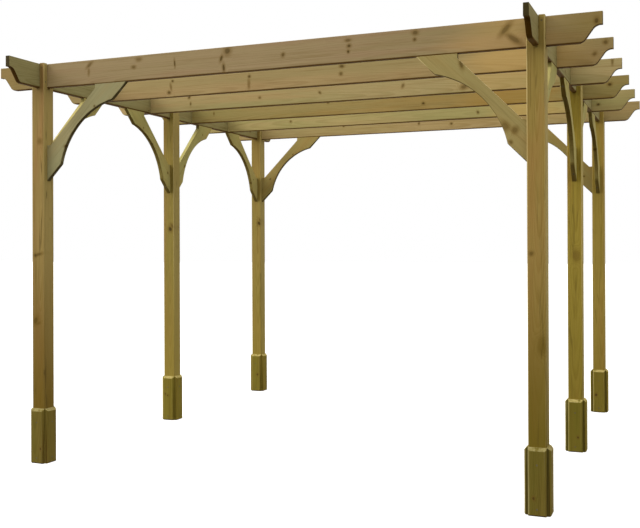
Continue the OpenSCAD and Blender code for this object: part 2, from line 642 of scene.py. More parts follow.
@dataclass(frozen=True)
class ZincPlate:
    """Zinc-plated steel, dulled outdoors: a soft grey metal with faint blotches."""

    bright: str = "#6a6454"
    dull: str = "#3c382e"

    def dress(self) -> bpy.types.Material:
        """Make the metal.

        Returns:
            The material.
        """
        graph = Graph(bpy.data.materials.new("zinc_plated_steel"))
        place = graph.add("TexCoord", out="Object")
        # The blotches are about 4 mm across.
        blotch = graph.add("TexNoise", place, named={"Scale": 260.0, "Detail": 3.0})
        mixed = {0: blotch, 6: linear(self.bright), 7: linear(self.dull)}
        colour = graph.add("Mix", named=mixed, out=2, data_type="RGBA")
        rough = graph.add("MapRange", blotch, 0.0, 1.0, 0.38, 0.6)
        bump = graph.add("Bump", named={"Strength": 0.2, "Distance": 0.1 * MM, "Height": blotch})
        sheen = {"Metallic": 0.9, "Roughness": rough, "Normal": bump}
        graph.end(graph.add("BsdfPrincipled", named={"Base Color": colour, **sheen}))
        return graph.owner


def extrude(mesh: BMesh, faces: list[BMFace], move: Triple) -> list[BMFace]:
    """Extrude faces.

    Args:
        mesh: The mesh.
        faces: The faces, which stay where they are.
        move: The way and distance to the new faces.

    Returns:
        The new faces.
    """
    made = bmesh.ops.extrude_face_region(mesh, geom=faces)["geom"]
    bmesh.ops.translate(mesh, verts=[e for e in made if isinstance(e, BMVert)], vec=move)
    return [e for e in made if isinstance(e, BMFace)]


class OutlinePen:
    """A pen that draws an outline in the XZ plane of a bmesh, one vertex after another."""

    def __init__(self, mesh: BMesh, x: float, z: float) -> None:
        """Put the pen down at a first point.

        Args:
            mesh: The mesh.
            x: The point's x.
            z: The point's z.
        """
        self.mesh = mesh
        self.first = bmesh.ops.create_vert(mesh, co=(x, 0.0, z))["vert"][0]
        self.last = self.first

    def line(self, *points: Point) -> None:
        """Draw straight to each point in turn.

        Args:
            *points: The points' x and z.
        """
        for x, z in points:
            made = bmesh.ops.extrude_vert_indiv(self.mesh, verts=[self.last])
            self.last = made["verts"][0]
            self.last.co = (x, 0.0, z)

    def arc(self, centre: Point, sweep: float, steps: int) -> None:
        """Draw an arc from here.

        Args:
            centre: The arc's centre.
            sweep: Degrees swept, anticlockwise as seen with x to the right and z up.
            steps: Straight steps along the arc.
        """
        made = bmesh.ops.spin(
            self.mesh,
            geom=[self.last],
            cent=(centre[0], 0.0, centre[1]),
            axis=(0.0, -1.0, 0.0),
            angle=math.radians(sweep),
            steps=steps,
        )
        self.last = next(e for e in made["geom_last"] if isinstance(e, BMVert))

    def board(self, thickness: float) -> list[BMEdge]:
        """Close the outline and give it thickness, centred on y = 0.

        Args:
            thickness: The thickness.

        Returns:
            The edges of the board's two faces.
        """
        mesh = self.mesh
        bmesh.ops.contextual_create(mesh, geom=[self.last, self.first])
        bmesh.ops.edgeloop_fill(mesh, edges=mesh.edges[:])
        bmesh.ops.translate(mesh, verts=mesh.verts[:], vec=(0.0, -thickness / 2, 0.0))
        extrude(mesh, mesh.faces[:], (0.0, thickness, 0.0))
        bmesh.ops.recalc_face_normals(mesh, faces=mesh.faces[:])
        round_curves(mesh)
        return [e for e in mesh.edges if abs(e.verts[0].co.y - e.verts[1].co.y) < HAIR]


def round_curves(mesh: BMesh, limit: float = 30.0) -> None:
    """Shade as smooth the faces that meet a neighbour at a slight angle.

    Args:
        mesh: The mesh.
        limit: The largest such angle, in degrees.
    """
    for edge in mesh.edges:
        if len(edge.link_faces) == 2 and 0.5 < math.degrees(edge.calc_face_angle(0.0)) < limit:
            for face in edge.link_faces:
                face.smooth = True


def ease(mesh: BMesh, edges: Iterable[BMEdge], radius: float, segments: int = 3, worn: float = 1.0) -> None:
    """Round some edges, as a planer's or a sanding block's pass does.

    Args:
        mesh: The mesh.
        edges: The edges to round.
        radius: How far the rounding reaches from each edge.
        segments: Faces across the rounding.
        worn: How much of the finish's rubbing and painted highlight the rounding takes.
    """
    # A new layer moves the mesh's data, so the edges are listed before it is made.
    chosen = list(edges)
    mark = mesh.faces.layers.float.get(ARRIS) or mesh.faces.layers.float.new(ARRIS)
    made = bmesh.ops.bevel(
        mesh,
        geom=chosen,
        offset=radius,
        offset_type="OFFSET",
        affect="EDGES",
        segments=segments,
        profile=0.5,
        clamp_overlap=True,
        material=-1,
    )
    for face in made["faces"]:
        face.smooth = True
        face[mark] = worn


def stow(mesh: BMesh, name: str) -> bpy.types.Mesh:
    """Turn a finished bmesh into mesh data.

    Args:
        mesh: The bmesh. It is freed.
        name: The data's name.

    Returns:
        The mesh data.
    """
    data = bpy.data.meshes.new(name)
    mesh.to_mesh(data)
    mesh.free()
    return data


def place_object(name: str, data: bpy.types.ID) -> bpy.types.Object:
    """Put a new object with the given data in the scene.

    Args:
        name: The object's name.
        data: Its mesh, lamp or camera.

    Returns:
        The object.
    """
    placed = bpy.data.objects.new(name, data)
    bpy.context.scene.collection.objects.link(placed)
    return placed


def hand_over(
    mesh: BMesh, name: str, material: bpy.types.Material, nodes: Iterable[str] = ()
) -> bpy.types.Object:
    """Turn a finished bmesh into a piece of the pergola.

    Args:
        mesh: The mesh, in the frame's axes. It is freed.
        name: The piece's name.
        material: The piece's material.
        nodes: The frame's nodes that it stands for.

    Returns:
        The piece.
    """
    data = stow(mesh, name)
    data.materials.append(material)
    piece = place_object(name, data)
    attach(piece, BODY)
    for node in nodes:
        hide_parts(node)
    LOG.info("%s: %d faces", name, len(data.polygons))
    return piece


@dataclass
class Timber:
    """What every timber has: the frame's node that it stands for, a wood and its knots."""

    node: str
    slot: Slot
    finish: TreatedSoftwood
    seed: int
    knots: list[Knot] = field(default_factory=list)

    def dressed(
        self, mesh: BMesh, grain: Placement, length: float, scattered: list[Knot]
    ) -> bpy.types.Object:
        """Dress the timber and hand it over.

        Args:
            mesh: The timber's mesh, in the frame's axes.
            grain: Its own axes, with x along the fibres.
            length: Its length, or 0 where its ends don't show.
            scattered: The knots that it has if none are set.

        Returns:
            The piece.
        """
        material = self.finish.dress(self.node, grain, length, self.knots or scattered, self.seed)
        return hand_over(mesh, f"{self.node}_timber", material, [self.node])


@dataclass(frozen=True)
class BeamEnd:
    """The shaped end of a beam: an upright nose, a cove, a slope and a round to the underside."""

    nose: float = 62 * MM
    flat: float = 9 * MM
    radius: float = 45 * MM
    slope: float = 54.0
    steps: int = 10

    def draw(self, pen: OutlinePen, depth: float, length: float, underside: list[Point]) -> None:
        """Draw both ends and the underside between them, up to the top of the far nose.

        Args:
            pen: The pen, at the top of the near nose.
            depth: The beam's depth.
            length: The beam's length.
            underside: The points of the cuts in its underside.
        """
        rise, run = math.sin(math.radians(self.slope)), math.cos(math.radians(self.slope))
        height = depth - self.nose
        drop = self.radius * (1 - run)
        straight = (height - 2 * drop) / rise
        foot = self.flat + self.radius * rise + straight * run
        reach = foot + self.radius * rise
        pen.line((0.0, height), (self.flat, height))
        pen.arc((self.flat, height - self.radius), -self.slope, self.steps)
        pen.line((foot, drop))
        pen.arc((reach, self.radius), self.slope, self.steps)
        pen.line(*underside, (length - reach, 0.0))
        pen.arc((length - reach, self.radius), self.slope, self.steps)
        pen.line((length - self.flat - self.radius * rise, height - drop))
        pen.arc((length - self.flat, height - self.radius), -self.slope, self.steps)
        pen.line((length, height), (length, depth))


@dataclass(kw_only=True)
class Beam(Timber):
    """A board on edge, halved where it crosses others.

    A rafter runs along x and is halved from below. A side beam runs along y and is halved from
    above. Each crossing is the x or y of the other beam's middle.
    """

    crossings: list[float]
    end: BeamEnd = BeamEnd()
    play: float = 0.5 * MM
    arris: float = 1.5 * MM
    knot_margin: float = 20.0
    knot_gap: float = 480.0

    def __post_init__(self) -> None:
        """Take the beam's place and size from the frame."""
        low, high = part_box(self.node)
        size, middle = high - low, (low + high) / 2
        self.depth = size.z
        self.is_rafter = self.slot is Slot.RAFTER
        if self.is_rafter:
            self.length, self.thickness, start = size.x, size.y, low.x
            self.placement = Placement((low.x, middle.y, low.z))
        else:
            self.length, self.thickness, start = size.y, size.x, low.y
            self.placement = Placement((middle.x, low.y, low.z), (0.0, 0.0, 90.0))
        half = self.thickness / 2 + self.play
        self.opened, self.kept = (0.0, self.depth) if self.is_rafter else (self.depth, 0.0)
        centres = [crossing - start for crossing in sorted(self.crossings)]
        self.notches = [(centre - half, centre + half) for centre in centres]

    def _in_notch(self, edge: BMEdge) -> bool:
        """Whether an edge lies inside a halving, where the saw leaves it sharp."""
        x, _, z = (edge.verts[0].co + edge.verts[1].co) / 2
        return abs(z - self.kept) > SLACK and any(a - SLACK < x < b + SLACK for a, b in self.notches)

    def build(self) -> bpy.types.Object:
        """Cut the beam and dress it.

        Returns:
            The piece.
        """
        half, cuts = self.depth / 2, []
        for first, last in self.notches:
            cuts += [(first, self.opened), (first, half), (last, half), (last, self.opened)]
        mesh = bmesh.new()
        pen = OutlinePen(mesh, 0.0, self.depth)
        self.end.draw(pen, self.depth, self.length, cuts if self.is_rafter else [])
        if not self.is_rafter:
            pen.line(*reversed(cuts))
        rims = pen.board(self.thickness)
        ease(mesh, [e for e in rims if not self._in_notch(e)], self.arris)
        bmesh.ops.transform(mesh, matrix=self.placement.matrix, verts=mesh.verts[:])
        across = (self.knot_margin, self.depth / MM - self.knot_margin)
        knots = scatter_knots(self.seed, (0, self.length / MM), across, self.knot_gap)
        return self.dressed(mesh, self.placement, self.length, knots)


@dataclass(kw_only=True)
class Post(Timber):
    """A square post whose top is slotted for the beams that pass through it."""

    station: Station
    play: float = 0.5 * MM
    arris: float = 5 * MM
    ear_arris: float = 1.5 * MM
    knot_reach: float = 32.0
    knot_gap: float = 520.0

    def __post_init__(self) -> None:
        """Take the post's place and size from the frame."""
        low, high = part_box(self.node)
        beam_low, beam_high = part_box(f"{self.station.side.value}_side_beam")
        self.half = (high.x - low.x) / 2
        self.centre = foot_of(self.node)
        self.top = high.z
        self.slot_floor = beam_low.z
        self.slot_half = (beam_high.x - beam_low.x) / 2 + self.play

    def _is_ear(self, face: BMFace) -> bool:
        """Whether a face of the post's section rises beside the beams."""
        x, y = (abs(place) for place in face.calc_center_median().xy)
        return x > self.slot_half and (y > self.slot_half or self.station.row is Row.MIDDLE)

    def _on_corner(self, edge: BMEdge) -> bool:
        """Whether an edge lies on one of the four long corners."""
        return all(abs(abs(c) - self.half) < HAIR for v in edge.verts for c in v.co.xy)

    def build(self) -> bpy.types.Object:
        """Raise the post from its section, then its ears, and dress it.

        Returns:
            The piece.
        """
        mesh = bmesh.new()
        bmesh.ops.create_grid(mesh, x_segments=3, y_segments=3, size=self.half)
        for vert in mesh.verts:
            for axis in (0, 1):
                if abs(vert.co[axis]) < self.half - SLACK:
                    vert.co[axis] = math.copysign(self.slot_half, vert.co[axis])
        shoulders = extrude(mesh, mesh.faces[:], (0.0, 0.0, self.slot_floor))
        ears = [face for face in shoulders if self._is_ear(face)]
        extrude(mesh, ears, (0.0, 0.0, self.top - self.slot_floor))
        bmesh.ops.delete(mesh, geom=ears, context="FACES_ONLY")
        flat = math.radians(0.5)
        bmesh.ops.dissolve_limit(mesh, angle_limit=flat, verts=mesh.verts[:], edges=mesh.edges[:])
        bmesh.ops.recalc_face_normals(mesh, faces=mesh.faces[:])
        ease(mesh, [e for e in mesh.edges if self._on_corner(e)], self.arris, 4)
        rims = [e for e in mesh.edges if all(v.co.z > self.top - SLACK for v in e.verts)]
        ease(mesh, rims, self.ear_arris, 2)
        bmesh.ops.translate(mesh, verts=mesh.verts[:], vec=self.centre)
        across = (-self.knot_reach, self.knot_reach)
        ways = (Through.THICKNESS, Through.WIDTH)
        knots = scatter_knots(self.seed, (0, self.top / MM), across, self.knot_gap, ways)
        grain = Placement(tuple(self.centre), (0.0, -90.0, 0.0))
        return self.dressed(mesh, grain, self.top, knots)


@dataclass
class FootBoards(Timber):
    """The four boards around the foot of a post, with sloped tops and bevelled sides."""

    thickness: float = 20 * MM
    slope: float = 15 * MM
    bevel: float = 8 * MM
    toe: float = 5 * MM
    arris: float = 2 * MM
    knot_reach: float = 30.0
    knot_gap: float = 260.0

    def __post_init__(self) -> None:
        """Take the boards' place and size from the frame."""
        low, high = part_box(self.node)
        self.height = high.z
        self.centre = foot_of(self.node)
        self.width = high.x - low.x - 2 * self.thickness

    def _board(self, mesh: BMesh, turn: float) -> None:
        """Add one board.

        Args:
            mesh: The mesh that gets it.
            turn: Degrees that it is turned by from facing +Y.
        """
        board = bmesh.new()
        bmesh.ops.create_cube(board, size=1.0)
        bmesh.ops.scale(board, verts=board.verts[:], vec=(self.width, self.thickness, self.height))
        offset = (0.0, (self.width + self.thickness) / 2, self.height / 2)
        bmesh.ops.translate(board, verts=board.verts[:], vec=offset)
        side = self.width / 2
        face = side + self.thickness
        cuts = [
            ((0.0, face, self.height - self.slope), (0.0, 1.0, 1.0)),
            ((side, face - self.bevel, 0.0), (1.0, 1.0, 0.0)),
            ((-side, face - self.bevel, 0.0), (-1.0, 1.0, 0.0)),
            ((0.0, face, self.toe), (0.0, 1.0, -1.0)),
        ]
        for point, normal in cuts:
            geom = board.verts[:] + board.edges[:] + board.faces[:]
            cut = bmesh.ops.bisect_plane(board, geom=geom, plane_co=point, plane_no=normal, clear_outer=True)
            bmesh.ops.edgeloop_fill(board, edges=[e for e in cut["geom_cut"] if isinstance(e, BMEdge)])
        bmesh.ops.recalc_face_normals(board, faces=board.faces[:])
        ease(board, [e for e in board.edges if self._shows(e)], self.arris, 2)
        self._mark(board)
        bmesh.ops.rotate(board, verts=board.verts[:], matrix=Matrix.Rotation(math.radians(turn), 3, "Z"))
        data = stow(board, "foot_board")
        mesh.from_mesh(data)
        bpy.data.meshes.remove(data)

    def _mark(self, board: BMesh) -> None:
        """Mark the sides that face a neighbour as recessed, for painted shade, and the top slopes and bevels
        as rubbed pale with a painted highlight.

        Args:
            board: The board, facing +Y.
        """
        recess = board.faces.layers.float.new(RECESS)
        worn = board.faces.layers.float.get(ARRIS)
        board.normal_update()
        for face in board.faces:
            across, outward, up = face.normal
            face[recess] = float(abs(across) > 0.95)
            # The top slopes and the outer bevels get the painted highlight together with the rubbing.
            if up > 0.5:
                face[worn] = 1.0
            elif outward > 0.5 and abs(across) > 0.5:
                face[worn] = 0.9

    def _shows(self, edge: BMEdge) -> bool:
        """Whether an edge stands clear of the post and of the ground."""
        middle = (edge.verts[0].co + edge.verts[1].co) / 2
        return middle.y > self.width / 2 + SLACK and middle.z > SLACK

    def build(self) -> bpy.types.Object:
        """Make the four boards and dress them.

        Returns:
            The piece.
        """
        mesh = bmesh.new()
        for turn in (0.0, 90.0, 180.0, 270.0):
            self._board(mesh, turn)
        bmesh.ops.translate(mesh, verts=mesh.verts[:], vec=self.centre)
        across = (-self.knot_reach, self.knot_reach)
        knots = scatter_knots(self.seed, (0, self.height / MM), across, self.knot_gap)
        return self.dressed(mesh, Placement(tuple(self.centre), (0.0, -90.0, 0.0)), 0.0, knots)


@dataclass(kw_only=True)
class Brace(Timber):
    """A curved brace between a post and the beam over it, turned in degrees from facing +X."""

    post: str
    turn: float
    width: float = 135 * MM
    waist: float = 58 * MM
    radius: float = 480 * MM
    nib: float = 25 * MM
    arris: float = 3.5 * MM
    outer_arris: float = 9 * MM
    steps: int = 24
    knot_span: Point = (-380.0, 380.0)
    knot_width: Point = (-380.0, -290.0)
    knot_gap: float = 300.0

    def __post_init__(self) -> None:
        """Take the brace's place and size from the frame."""
        low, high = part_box(self.node)
        post_low, post_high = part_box(self.post)
        self.leg = high.z - low.z
        self.thickness = min(high.x - low.x, high.y - low.y)
        middle = middle_of(self.post)
        reach, angle = (post_high.x - post_low.x) / 2, math.radians(self.turn)
        self.corner = (middle.x + reach * math.cos(angle), middle.y + reach * math.sin(angle), high.z)

    def _seated(self, edge: BMEdge) -> bool:
        """Whether an edge lies against the beam or the post."""
        on_beam = all(v.co.z > -HAIR for v in edge.verts)
        return on_beam or all(v.co.x < HAIR for v in edge.verts)

    def build(self) -> bpy.types.Object:
        """Saw the brace to its curve and dress it.

        Returns:
            The piece.
        """
        back = self.leg - self.width * math.sqrt(2)
        square_end = back - self.nib
        centre = (back + (self.radius + self.waist) * math.sqrt(2)) / 2
        half_chord = math.sqrt(self.radius**2 / 2 - (centre - self.leg / 2) ** 2)
        near = self.leg / 2 - half_chord
        sweep = 2 * math.degrees(math.atan2(half_chord, centre - self.leg / 2))
        mesh = bmesh.new()
        pen = OutlinePen(mesh, self.leg, 0.0)
        pen.line(
            (square_end, 0.0),
            (square_end, -self.nib),
            (self.nib, -square_end),
            (0.0, -square_end),
            (0.0, -self.leg),
            (near, near - self.leg),
        )
        pen.arc((centre, -centre), -sweep, self.steps)
        rims = pen.board(self.thickness)
        outer = [e for e in rims if all(abs(v.co.x - v.co.z - back) < HAIR for v in e.verts)]
        inner = [e for e in rims if e not in outer and not self._seated(e)]
        # The outer arris takes the full painted highlight and rubbing, the inner ones a fifth of it.
        ease(mesh, outer, self.outer_arris, 4)
        ease(mesh, [e for e in inner if e.is_valid], self.arris, 2, worn=0.2)
        place = Placement(self.corner, (0.0, 0.0, self.turn))
        bmesh.ops.transform(mesh, matrix=place.matrix, verts=mesh.verts[:])
        knots = scatter_knots(self.seed, self.knot_span, self.knot_width, self.knot_gap)
        return self.dressed(mesh, Placement(self.corner, (0.0, -45.0, self.turn)), 0.0, knots)


@dataclass
class Screws:
    """The countersunk screws at one post: in its ears, its foot boards and its braces' ends.

    Each seat is a place, taken from the post's foot, and the way that the head faces.
    """

    station: Station
    finish: ZincPlate
    seed: int
    head: float = 4.5 * MM
    shank: float = 2.5 * MM
    sunk: float = 2 * MM
    proud: float = 0.6 * MM
    rim: float = 0.3 * MM
    recess: float = 2.4 * MM
    recess_depth: float = 1.2 * MM
    recess_wall: float = 0.1 * MM
    lobes: int = 6
    lobe_share: float = 0.16
    segments: int = 24
    ear_high: float = 2395 * MM
    ear_low: float = 2310 * MM
    ear_spread: float = 0.66
    foot_rows: Point = (0.1, 0.75)
    toe: float = 44 * MM

    def __post_init__(self) -> None:
        """Take the post's place and its foot's size from the frame."""
        post, foot = f"{self.station.name}_post", f"{self.station.name}_foot_boards"
        low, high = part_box(post)
        foot_low, foot_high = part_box(foot)
        self.centre = foot_of(post)
        self.half = (high.x - low.x) / 2
        self.foot_half = (foot_high.x - foot_low.x) / 2
        self.foot_height = foot_high.z

    def _ears(self) -> list[tuple[Vector, Vector]]:
        """List the seats at the top of the post.

        Returns:
            The seats.
        """
        spread = self.half * self.ear_spread
        at_corner = self.station.row is not Row.MIDDLE
        heights = (self.ear_low,) if at_corner else (self.ear_low, self.ear_high)
        faces = [(LEFTWARD, REARWARD, heights), (RIGHTWARD, REARWARD, heights)]
        if at_corner:
            faces += [(FORWARD, RIGHTWARD, (self.ear_high,)), (REARWARD, RIGHTWARD, (self.ear_high,))]
        return [
            (way * self.half + aside * step + UP * height, way)
            for way, aside, heights in faces
            for step in (-spread, spread)
            for height in heights
        ]

    def _feet(self) -> list[tuple[Vector, Vector]]:
        """List the seats in the foot boards.

        Returns:
            The seats.
        """
        ways = [Matrix.Rotation(turn * math.pi / 2, 3, "Z") @ REARWARD for turn in range(4)]
        heights = [share * self.foot_height for share in self.foot_rows]
        return [(way * self.foot_half + UP * height, way) for way in ways for height in heights]

    def _braces(self) -> list[tuple[Vector, Vector]]:
        """List the seats in the sloping ends of the braces on this post.

        Returns:
            The seats.
        """
        side = self.station.side
        inward = RIGHTWARD if side is Side.LEFT else LEFTWARD
        runs = {
            Row.FRONT: (inward, REARWARD),
            Row.MIDDLE: (FORWARD, REARWARD),
            Row.REAR: (inward, FORWARD),
        }[self.station.row]
        low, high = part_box(f"front_{side.value}_side_brace")
        heel = high.z - low.z - self.toe
        return [
            (UP * high.z + run * (self.half + out) + DOWN * drop, (run + DOWN).normalized())
            for run in runs
            for out, drop in ((self.toe, heel), (heel, self.toe))
        ]

    def _head_mesh(self) -> bpy.types.Mesh:
        """Turn one screw head, facing up, with a six-lobed recess.

        Returns:
            Its mesh data.
        """
        mesh = bmesh.new()
        bmesh.ops.create_cone(
            mesh,
            cap_ends=True,
            segments=self.segments,
            radius1=self.shank,
            radius2=self.head,
            depth=self.sunk + self.proud,
        )
        bmesh.ops.translate(mesh, verts=mesh.verts[:], vec=(0.0, 0.0, (self.proud - self.sunk) / 2))
        top = max(mesh.faces, key=lambda face: face.calc_center_median().z)
        ease(mesh, top.edges, self.rim, 2)
        top = max(mesh.faces, key=lambda face: face.calc_center_median().z)
        bmesh.ops.inset_individual(mesh, faces=[top], thickness=self.head - self.rim - self.recess)
        for vert in top.verts:
            lobed = 1 + self.lobe_share * math.cos(self.lobes * math.atan2(vert.co.y, vert.co.x))
            vert.co = Vector((vert.co.x * lobed, vert.co.y * lobed, vert.co.z))
        bmesh.ops.inset_individual(mesh, faces=[top], thickness=self.recess_wall, depth=-self.recess_depth)
        bmesh.ops.recalc_face_normals(mesh, faces=mesh.faces[:])
        return stow(mesh, "screw_head")

    def build(self) -> bpy.types.Object:
        """Set every screw of this post in its place, each turned as it was driven.

        Returns:
            The piece.
        """
        chance = random.Random(self.seed)
        head = self._head_mesh()
        mesh = bmesh.new()
        for place, way in self._ears() + self._feet() + self._braces():
            before = len(mesh.verts)
            mesh.from_mesh(head)
            mesh.verts.ensure_lookup_table()
            driven = Matrix.Rotation(chance.uniform(0.0, math.pi), 4, "Z")
            seat = Matrix.Translation(self.centre + place) @ way.to_track_quat("Z", "Y").to_matrix().to_4x4()
            bmesh.ops.transform(mesh, matrix=seat @ driven, verts=mesh.verts[before:])
        bpy.data.meshes.remove(head)
        return hand_over(mesh, f"{self.station.name}_screws", self.finish.dress())


@dataclass
class Studio:
    """A pale floor, soft light and the camera."""

    floor_half: float = 60.0
    bounce: str = "#3a2e0e"
    camera_at: Triple = (2.215, -6.058, 1.308)
    camera_yaw: float = 22.32
    camera_pitch: float = 0.22
    camera_roll: float = -0.222
    lens: float = 51.84
    sensor: float = 36.0
    drop: float = -0.0338
    horizon: float = 0.35
    zenith: float = 2.9
    key_power: float = 620.0
    side_power: float = 450.0
    lamp_aim: Triple = (0.0, 0.0, 1.6)

    def floor(self) -> None:
        """Lay a floor that is white to the eye, keeps the shadows and throws little light up."""
        mesh = bmesh.new()
        bmesh.ops.create_grid(mesh, x_segments=1, y_segments=1, size=self.floor_half)
        data = stow(mesh, "floor")
        floor = place_object("floor", data)
        floor.location.z = -1 * MM
        paper = Graph(bpy.data.materials.new("floor_paper"))
        pale = paper.add("BsdfDiffuse", (0.5, 0.5, 0.5, 1.0))
        glow = paper.add("Emission", (1.0, 1.0, 1.0, 1.0), 0.6)
        shown = paper.add("AddShader", pale, glow)
        lit = paper.add("BsdfDiffuse", linear(self.bounce))
        paper.end(paper.add("MixShader", paper.seen(), lit, shown))
        data.materials.append(paper.owner)

    def sky(self) -> None:
        """Light the scene as an overcast sky does, brightest overhead, with plain white behind."""
        sky = Graph(bpy.data.worlds.new("studio"))
        up = sky.add("SeparateXYZ", sky.add("TexCoord", out="Generated"), out="Z")
        level = sky.add("MapRange", up, 0.0, 1.0, self.horizon, self.zenith)
        soft = sky.add("Background", (1.0, 0.985, 0.95, 1.0), level)
        plain = sky.add("Background", (1.0, 1.0, 1.0, 1.0), 1.0)
        sky.end(sky.add("MixShader", sky.seen(), soft, plain), "OutputWorld")
        bpy.context.scene.world = sky.owner

    def lamp(self, name: str, at: Triple, size: float, power: float) -> None:
        """Hang a square soft lamp that faces the middle of the pergola.

        Args:
            name: The lamp's name.
            at: Its place.
            size: Its side.
            power: Its power in watts.
        """
        light = bpy.data.lights.new(name, "AREA")
        light.size = size
        light.energy = power
        lamp = place_object(name, light)
        lamp.location = at
        aim = Vector(self.lamp_aim) - Vector(at)
        lamp.rotation_euler = aim.to_track_quat("-Z", "Y").to_euler()

    def camera(self) -> None:
        """Set up the camera at standing height, off the front right corner."""
        data = bpy.data.cameras.new("camera")
        data.lens = self.lens
        data.sensor_width = self.sensor
        data.shift_y = self.drop
        data.clip_end = 200.0
        camera = place_object("camera", data)
        yaw = Matrix.Rotation(math.radians(self.camera_yaw), 4, "Z")
        pitch = Matrix.Rotation(math.radians(90.0 + self.camera_pitch), 4, "X")
        roll = Matrix.Rotation(math.radians(self.camera_roll), 4, "Z")
        camera.matrix_world = Matrix.Translation(self.camera_at) @ yaw @ pitch @ roll
        bpy.context.scene.camera = camera

    def build(self) -> None:
        """Set up floor, light and camera."""
        self.floor()
        self.sky()
        self.lamp("key", (-9.0, -6.0, 8.0), 5.0, self.key_power)
        self.lamp("side", (-12.0, -4.5, 3.5), 4.0, self.side_power)
        self.camera()
        bpy.context.scene.view_settings.view_transform = "Standard"


# Honey pine with a green cast, and a dark band of painted shade along its lower edge.
RAFTER_WOOD = TreatedSoftwood(
    "rafter_pine", Tones("#a48e62", "#836d3f", "#918859", "#a28c56", "#72572d"), drip_line=5 * MM,
    drip_share=0.6,
)
# Greyer, darker olive, partly painted shade for the rafters' shadow, with near black cut ends
# and a broad dark band of painted shade along its lower edge.
SIDE_BEAM_WOOD = TreatedSoftwood(
    "side_beam_pine", Tones("#8c855a", "#6a6034", "#747044", "#867448", "#564a20"), end="#2c2208",
    end_share=0.9, drip_line=7 * MM,
)
# Straw brown, with pale sawn ends and painted shade on the undersides.
BRACE_WOOD = TreatedSoftwood(
    "brace_pine", Tones("#9c8b53", "#796832", "#8e854f", "#9a7b41", "#69552b"), end_share=0.25,
    drip="#3c2c00", drip_share=0.7,
)
# Greener and paler straw, for the braces under the side beams: the paleness is painted light, as they stand
# lit on the open sides.
SIDE_BRACE_WOOD = BRACE_WOOD.toned("#a89e61 #83773b #99975d #a68c4d #716133", drip="#665008", drip_share=0.6)
# Olive brown, cut near the pith, with close arches, drying checks and painted cool light on its right faces.
POST_WOOD = TreatedSoftwood(
    "post_pine", Tones("#938243", "#735f24", "#847736", "#8c653a", "#5b4719"), check_share=0.3,
    worn_share=0.4, soak_share=0.3, pith=(14.0, 12.0), right_face_light_share=0.65,
)
# Dark olive, damp from the ground, with bevels rubbed pale and carrying a painted highlight.
FOOT_WOOD = TreatedSoftwood(
    "foot_pine", Tones("#7c6e29", "#5a4e12", "#646018", "#786227", "#473d0d"), worn="#b8a86c",
    worn_share=0.6, end="#2a2408", end_share=0.15,
)
FRONT_FOOT_WOOD = FOOT_WOOD.toned("#706129 #514512 #5a5418 #6c5627 #3f350d", worn="#aaa070", worn_share=0.4)
MIDDLE_FOOT_WOOD = FOOT_WOOD.toned("#776b27 #564c11 #605d16 #735f25 #443b0c")

# One wood for each post and each foot, in the order of STATIONS. The middle and rear right
# posts are paler, painted light that lifts them out of the roof's shade, and the front right
# post's arrises carry a brighter painted highlight.
POST_WOODS = [
    POST_WOOD.toned(
        "#927c49 #745d25 #847735 #906840 #5b4719", warm_share=0.6, damp="#604a06", damp_share=0.85,
        streak_share=0.65, check_share=0.45,
    ),
    POST_WOOD.toned(
        "#988047 #785f25 #877937 #966c3c #5b4719", damp="#5e5006", damp_share=0.85, worn="#c4b484",
        worn_share=0.5,
    ),
    replace(POST_WOOD, cast_share=0.7, damp="#88782a", damp_share=0.5),
    POST_WOOD.toned("#9d8a3a #7a661e #897c27 #9d713a #5b4719", damp="#665818", damp_share=0.5),
    replace(POST_WOOD, damp="#8a7828", damp_share=0.45),
    POST_WOOD.toned("#a08a43 #7c6622 #907f35 #9e713e #5b4719", damp="#6c5c14", damp_share=0.4, damp_high=1.1),
]
FOOT_WOODS = [FRONT_FOOT_WOOD, FRONT_FOOT_WOOD, FOOT_WOOD, MIDDLE_FOOT_WOOD, FOOT_WOOD, FOOT_WOOD]
# How dark the gaps between foot boards are: the right-hand feet stand away from the lamps.
FOOT_RECESSES = {Side.LEFT: 0.0, Side.RIGHT: 0.5}

# Faint knots that all posts but the first share on their left and right faces.
SHARED_KNOTS = [Knot(1300, 10, 7, 1.2, 0, 0.4, Through.WIDTH), Knot(640, -14, 6, 1.2, 0, 0.4, Through.WIDTH)]
# The knots of each post, in the order of STATIONS.
POST_KNOTS = [
    [
        Knot(1263, 0, 26, 0.25, 12, 0.4), Knot(1257, 21, 9, 1.0, 0, 0.7),
        Knot(862, 20, 12, 1.6, -25, 0.65), Knot(845, 4, 12, 0.5, 20, 0.2),
        Knot(1950, -12, 10, 1.2, 0, 0.1), Knot(1480, 10, 6, 1.2, 0, 0.5, Through.WIDTH),
    ],
    [Knot(1267, 25, 8, 1.0, 0, 0.35), Knot(820, -24, 13, 2.0, 0, 0.0), *SHARED_KNOTS],
    [Knot(1440, -14, 12, 1.3, 30, 0.85), Knot(1462, -32, 8, 2.2, 40, 0.35), *SHARED_KNOTS],
    [Knot(1240, -10, 14, 1.6, 0, 0.0), *SHARED_KNOTS],
    [Knot(1515, -30, 12, 1.3, 30, 0.85), Knot(1540, -43, 8, 2.2, 40, 0.35), *SHARED_KNOTS],
    SHARED_KNOTS,
]

